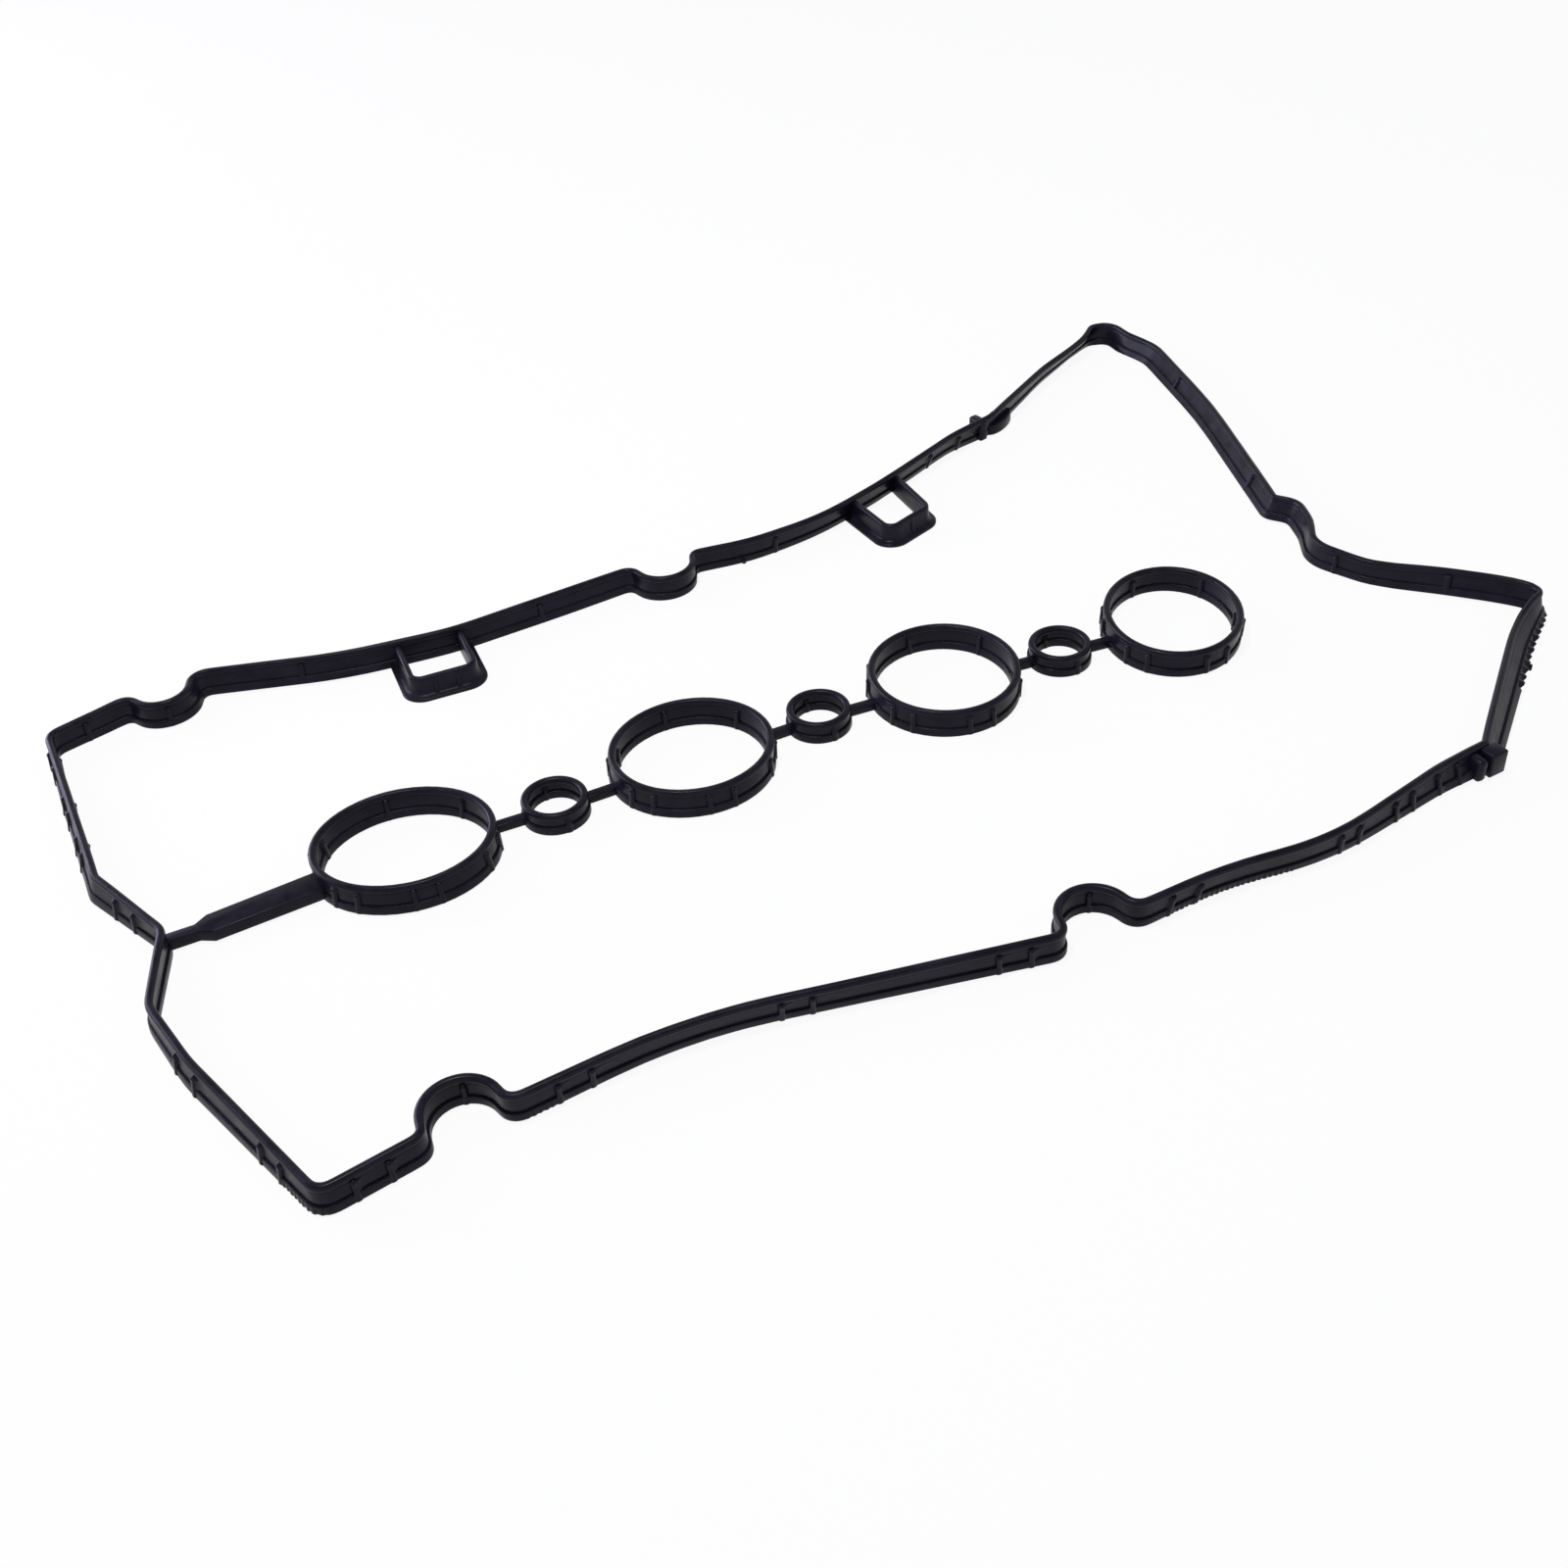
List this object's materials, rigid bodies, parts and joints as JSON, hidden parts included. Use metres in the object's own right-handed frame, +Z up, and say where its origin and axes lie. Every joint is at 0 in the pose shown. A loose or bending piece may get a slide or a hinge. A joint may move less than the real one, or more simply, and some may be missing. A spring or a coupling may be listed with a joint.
{
  "type": "valve cover gasket",
  "caption": "Moulded rubber gasket for an engine's valve cover: a thin outer wall on a wider foot, with a row of round seals hung inside it on a stem.",
  "frame": {"origin": "centre of the bounding box, at the foot that lies on the floor", "axes": "+X along the row of rings, away from the stem; +Y towards the back wall that carries the two loops; +Z up"},
  "size_m": [0.4632, 0.323, 0.0092],
  "materials": {
    "rubber": "satin"
  },
  "bodies": {
    "root": {"gasket": "rubber"}
  },
  "joints": []
}
